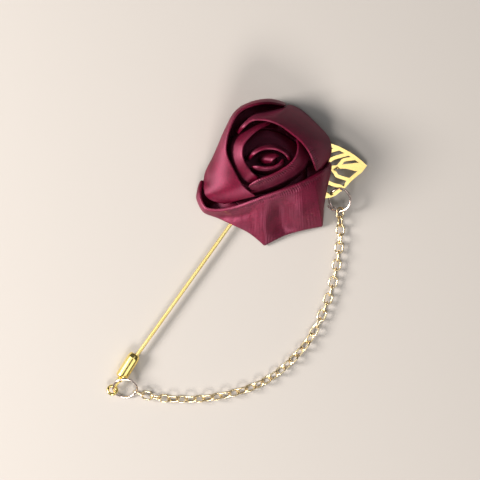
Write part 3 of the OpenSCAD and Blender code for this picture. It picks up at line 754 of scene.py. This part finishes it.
def make_clutch():
    """The barrel that caps the point, with its conical nose, neck, bail and loop."""
    barrel = [(0, BORE_L), (BORE_R, BORE_L), (BORE_R, EDGE_BREAK), (BORE_R + EDGE_BREAK, 0),
              (NOSE_R - EDGE_BREAK, 0), (NOSE_R, EDGE_BREAK), (NOSE_R + CLOSE_ROW, 2 * EDGE_BREAK),
              (CLUTCH_R - CLOSE_ROW, NOSE_L - EDGE_BREAK), (CLUTCH_R, NOSE_L + EDGE_BREAK),
              (CLUTCH_R, NOSE_L + 3 * EDGE_BREAK), (CLUTCH_R, CLUTCH_L - END_ROUND - 2 * EDGE_BREAK)]
    barrel += [(CLUTCH_R - END_ROUND * (1 - cos(radians(a))), CLUTCH_L - END_ROUND * (1 - sin(radians(a))))
               for a in range(0, 91, ROUND_STEP)] + [(0, CLUTCH_L)]
    ball = [(NECK_D / 2 * cos(radians(a)), NECK_D / 2 * sin(radians(a)))
            for a in range(-90, 91, ROUND_STEP)]
    axis = Vector((cos(radians(CLUTCH_TURN)), sin(radians(CLUTCH_TURN)), 0))
    neck_at = CLUTCH_AT + axis * (CLUTCH_L + NECK_D / 3)
    run = EYE_AT - neck_at
    length = run.length - EYE_R
    bail = [(0, 0), (BAIL_D / 2, 0), (BAIL_D / 2, length), (0, length)]
    bail_turn = (0, degrees(run.angle(UP)), degrees(atan2(run.y, run.x)))
    bm = joined((turned(barrel, 96), CLUTCH_AT, (0, 90, CLUTCH_TURN)),
                (turned(ball, 48), neck_at, (0, 0, 0)),
                (turned(bail, 32), neck_at, bail_turn),
                (wire_ring(EYE_R, EYE_WIRE), EYE_AT, (-EYE_TILT, 0, 0)))
    return make_piece("pin_clutch", bm, clutch_plate, ["clutch"], smooth_angle=40)


make_clutch()

CLUTCH_RING_AT = Vector((-32.7, -42.2, 2.4))
CLUTCH_RING_R = 3.4
CLUTCH_RING_WIRE = 0.6
CLUTCH_RING_TILT = 37.4
ring = wire_ring(CLUTCH_RING_R, CLUTCH_RING_WIRE, 160)
make_piece("clutch_jump_ring", joined((ring, CLUTCH_RING_AT, (CLUTCH_RING_TILT, 0, 0))), ring_plate,
           ["clutch_ring"])


LEAF_RING_AT = Vector((28.4, 11.5, 2.9))
LEAF_RING_TILT = (8.5, -24, 0)
LEAF_RING_R = 3.2
LEAF_RING_WIRE = 0.62
LEAF_RING_STEPS = 160
LEAF_RING_SIDES = 20
# Directions in degrees: where the wire starts and ends, until where its start is sprung outwards and
# from where its end goes inwards and down
WIRE_FROM = 205
WIRE_TO = 606
SPRUNG_TO = 330
INWARD_FROM = 545
# How far each of these takes the wire's end, in millimetres
SPRUNG = 0.9
INWARD = 0.24
DOWNWARD = 0.42


def make_leaf_ring():
    """One bent wire whose ends lie side by side: one sprung outwards, the other inwards and down."""
    bm = bmesh.new()
    loops = []
    for k in range(LEAF_RING_STEPS + 1):
        turn = WIRE_FROM + (WIRE_TO - WIRE_FROM) * k / LEAF_RING_STEPS
        out = max(0, (turn - SPRUNG_TO) / (WIRE_FROM - SPRUNG_TO)) ** 2
        inward = max(0, (turn - INWARD_FROM) / (WIRE_TO - INWARD_FROM)) ** 2
        loop = []
        for j in range(LEAF_RING_SIDES):
            side = 2 * pi * j / LEAF_RING_SIDES
            r = LEAF_RING_R + SPRUNG * out - INWARD * inward + LEAF_RING_WIRE / 2 * cos(side)
            loop.append(bm.verts.new((r * cos(radians(turn)), r * sin(radians(turn)),
                                      LEAF_RING_WIRE / 2 * sin(side) - DOWNWARD * inward)))
        loops.append(loop)
    for a, b in zip(loops, loops[1:]):
        for j in range(LEAF_RING_SIDES):
            after = (j + 1) % LEAF_RING_SIDES
            bm.faces.new((a[j], a[after], b[after], b[j]))
    bm.faces.new(loops[0])
    bm.faces.new(loops[-1])
    bmesh.ops.recalc_face_normals(bm, faces=bm.faces)
    return make_piece("leaf_jump_ring", joined((bm, LEAF_RING_AT, LEAF_RING_TILT)), ring_plate,
                      ["leaf_ring"], smooth_angle=60)


make_leaf_ring()


# ---------------------------------------------------------------- stage, lights and camera

def make_stage():
    """Matt pale paper, which throws a little light up under the petals."""
    bm = bmesh.new()
    bmesh.ops.create_grid(bm, x_segments=1, y_segments=1, size=1.5)
    mesh = bpy.data.meshes.new("floor")
    bm.to_mesh(mesh)
    bm.free()
    floor = bpy.data.objects.new("floor", mesh)
    bpy.context.scene.collection.objects.link(floor)
    m = new_material("matt_pale_paper")
    shader = add(m, "ShaderNodeBsdfPrincipled", {"Base Color": colour("#B2AFAA"), "Roughness": 0.9})
    mesh.materials.append(finish_material(m, shader))


LIT_POINT = Vector((0.005, 0.02, 0.01))
# Name, place in metres, width, watts, colour, and how long it is of its width
LIGHTS = [
    ("key_light", (-0.54, 0.03, 0.36), 0.28, 7.4, "#FFF6F0", 1.0),
    ("front_light", (-0.06, -0.50, 0.48), 0.28, 3.5, "#FFF6F0", 1.0),
    ("overhead_panel", (0.18, 0.07, 0.85), 0.22, 0.44, "#FFFFFF", 2.6),
    ("left_panel", (-0.50, 0.17, 0.48), 0.38, 1.45, "#FFFFFF", 3.0),
    ("right_panel", (0.30, -0.29, 0.50), 0.18, 0.44, "#FFFFFF", 4.0),
]


def soft_light(name, at, width, watts, tint, stretch):
    """An oval soft box that is turned to the rose."""
    lamp = bpy.data.lights.new(name, "AREA")
    lamp.shape = "ELLIPSE"
    lamp.size = width
    lamp.size_y = width * stretch
    lamp.energy = watts
    lamp.color = colour(tint)[:3]
    holder = bpy.data.objects.new(name, lamp)
    bpy.context.scene.collection.objects.link(holder)
    holder.location = at
    holder.rotation_mode = "QUATERNION"
    holder.rotation_quaternion = (LIT_POINT - Vector(at)).to_track_quat("-Z", "Y")


make_stage()
for light in LIGHTS:
    soft_light(*light)
world = bpy.data.worlds.new("studio")
world.use_nodes = True
background = world.node_tree.nodes["Background"]
background.inputs["Color"].default_value = colour("#F4F6FF")
background.inputs["Strength"].default_value = 0.08
bpy.context.scene.world = world
bpy.context.scene.view_settings.view_transform = "Standard"

# Straight down on the middle of the photograph, from so many millimetres up: it sees 137 mm across
CAMERA_UP = 600
camera_data = bpy.data.cameras.new("camera")
camera_data.lens = 157.5
camera_data.sensor_width = 36
camera_data.clip_start = 0.01
camera_data.clip_end = 10
camera_data.dof.use_dof = False
camera = bpy.data.objects.new("camera", camera_data)
bpy.context.scene.collection.objects.link(camera)
camera.location = Vector((0, 0, CAMERA_UP)) * MM - MIDDLE * MM
bpy.context.scene.camera = camera
